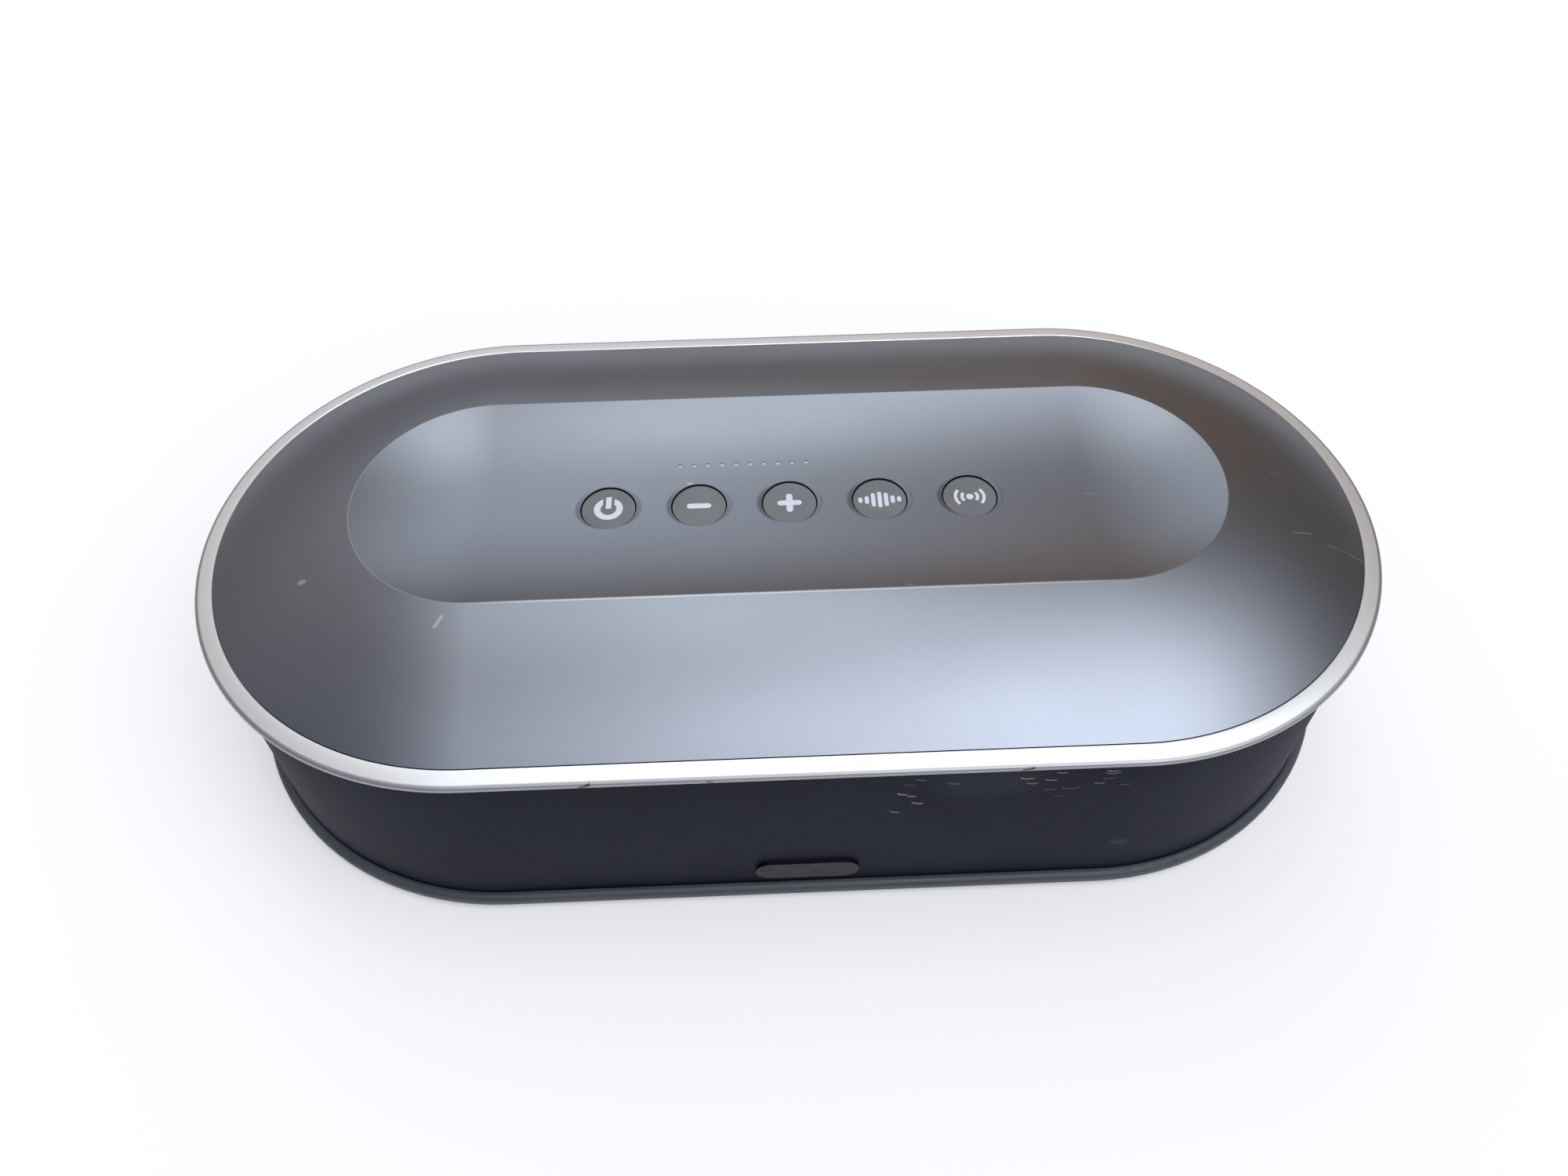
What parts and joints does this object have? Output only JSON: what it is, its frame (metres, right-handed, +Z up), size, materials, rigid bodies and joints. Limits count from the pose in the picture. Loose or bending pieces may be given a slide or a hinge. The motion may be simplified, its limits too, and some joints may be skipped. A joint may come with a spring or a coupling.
{
  "type": "conference speakerphone",
  "caption": "Round-ended tabletop conference speakerphone with a scooped top plate, pressing keys, indicator row, silver trim ring and all-round grille.",
  "frame": {"origin": "centre of the underside of the foot", "axes": "+X along the body to the right, +Y to the back with the ports, +Z up"},
  "size_m": [0.24, 0.12, 0.0589],
  "materials": {
    "plate_plastic": "satin dark grey, fine texture",
    "key_plastic": "satin grey",
    "legend_resin": "pale white inlay",
    "plunger_plastic": "moulded",
    "trim_aluminium": "satin anodised",
    "grille_steel": "fine perforated sheet, powder coated",
    "badge_metal": "plain satin",
    "base_plastic": "moulded, fine texture",
    "foot_rubber": "matt",
    "frame_plastic": "moulded",
    "box_plastic": "moulded",
    "part_plastic": "moulded",
    "soft_rubber": "matt",
    "board_laminate": "solder mask",
    "led_resin": "clear resin",
    "guide_acrylic": "clear moulded",
    "tin_steel": "tin plated",
    "plate_steel": "pressed",
    "screw_steel": "zinc plated",
    "yoke_steel": "turned, plated",
    "ferrite": "sintered",
    "cone_paper": "coated paper",
    "coil_copper": "enamelled wire",
    "cell_wrap": "shrink wrap",
    "wire_red": "insulated wire",
    "wire_grey": "insulated wire",
    "ribbon_film": "polyimide film"
  },
  "bodies": {
    "root": {"base_tray": "base_plastic", "foot_ring": "foot_rubber", "grille": "grille_steel", "badge_blank": "badge_metal", "trim_ring": "trim_aluminium", "top_frame": "frame_plastic", "top_plate": "plate_plastic", "switch_housings": "part_plastic", "key_board": "board_laminate", "indicator_leds": "led_resin", "light_guide": "guide_acrylic", "microphones": "tin_steel", "microphone_boots": "soft_rubber", "speaker_box": "box_plastic", "speaker_box_gasket": "soft_rubber", "speaker_box_cover": "box_plastic", "left_driver_frame": "part_plastic", "left_driver_magnet": "ferrite", "left_driver_yoke": "yoke_steel", "left_driver_suspension": "soft_rubber", "right_driver_frame": "part_plastic", "right_driver_magnet": "ferrite", "right_driver_yoke": "yoke_steel", "right_driver_suspension": "soft_rubber", "passive_surround": "soft_rubber", "battery_cells": "cell_wrap", "battery_cradle": "frame_plastic", "battery_lead": "wire_red", "main_board": "board_laminate", "shield_can": "tin_steel", "board_parts": "part_plastic", "usb_socket": "tin_steel", "aux_socket": "part_plastic", "port_panel": "frame_plastic", "ribbon_cable": "ribbon_film", "speaker_leads": "wire_grey", "case_screws": "screw_steel", "plate_screws": "screw_steel", "inner_screws": "screw_steel"},
    "power_button": {"power_key": "key_plastic", "power_legend": "legend_resin", "power_plunger": "plunger_plastic"},
    "volume_down_button": {"volume_down_key": "key_plastic", "volume_down_legend": "legend_resin", "volume_down_plunger": "plunger_plastic"},
    "volume_up_button": {"volume_up_key": "key_plastic", "volume_up_legend": "legend_resin", "volume_up_plunger": "plunger_plastic"},
    "voice_button": {"voice_key": "key_plastic", "voice_legend": "legend_resin", "voice_plunger": "plunger_plastic"},
    "pairing_button": {"pairing_key": "key_plastic", "pairing_legend": "legend_resin", "pairing_plunger": "plunger_plastic"},
    "left_diaphragm": {"left_driver_cone": "cone_paper", "left_voice_coil": "coil_copper"},
    "right_diaphragm": {"right_driver_cone": "cone_paper", "right_voice_coil": "coil_copper"},
    "passive_diaphragm": {"passive_plate": "plate_steel"}
  },
  "joints": [
    {"name": "power_press", "type": "slide", "parent": "root", "child": "power_button", "axis": [0, 0, -1], "range_m": [0, 0.0005], "stiffness_N_per_m": 700, "springref_m": -0.0015},
    {"name": "volume_down_press", "type": "slide", "parent": "root", "child": "volume_down_button", "axis": [0, 0, -1], "range_m": [0, 0.0005], "stiffness_N_per_m": 700, "springref_m": -0.0015},
    {"name": "volume_up_press", "type": "slide", "parent": "root", "child": "volume_up_button", "axis": [0, 0, -1], "range_m": [0, 0.0005], "stiffness_N_per_m": 700, "springref_m": -0.0015},
    {"name": "voice_press", "type": "slide", "parent": "root", "child": "voice_button", "axis": [0, 0, -1], "range_m": [0, 0.0005], "stiffness_N_per_m": 700, "springref_m": -0.0015},
    {"name": "pairing_press", "type": "slide", "parent": "root", "child": "pairing_button", "axis": [0, 0, -1], "range_m": [0, 0.0005], "stiffness_N_per_m": 700, "springref_m": -0.0015},
    {"name": "left_cone_stroke", "type": "slide", "parent": "root", "child": "left_diaphragm", "axis": [0, -1, 0], "range_m": [-0.001, 0.001], "stiffness_N_per_m": 1000},
    {"name": "right_cone_stroke", "type": "slide", "parent": "root", "child": "right_diaphragm", "axis": [0, -1, 0], "range_m": [-0.001, 0.001], "stiffness_N_per_m": 1000},
    {"name": "passive_stroke", "type": "slide", "parent": "root", "child": "passive_diaphragm", "axis": [0, -1, 0], "range_m": [-0.0015, 0.0015], "stiffness_N_per_m": 1500}
  ]
}
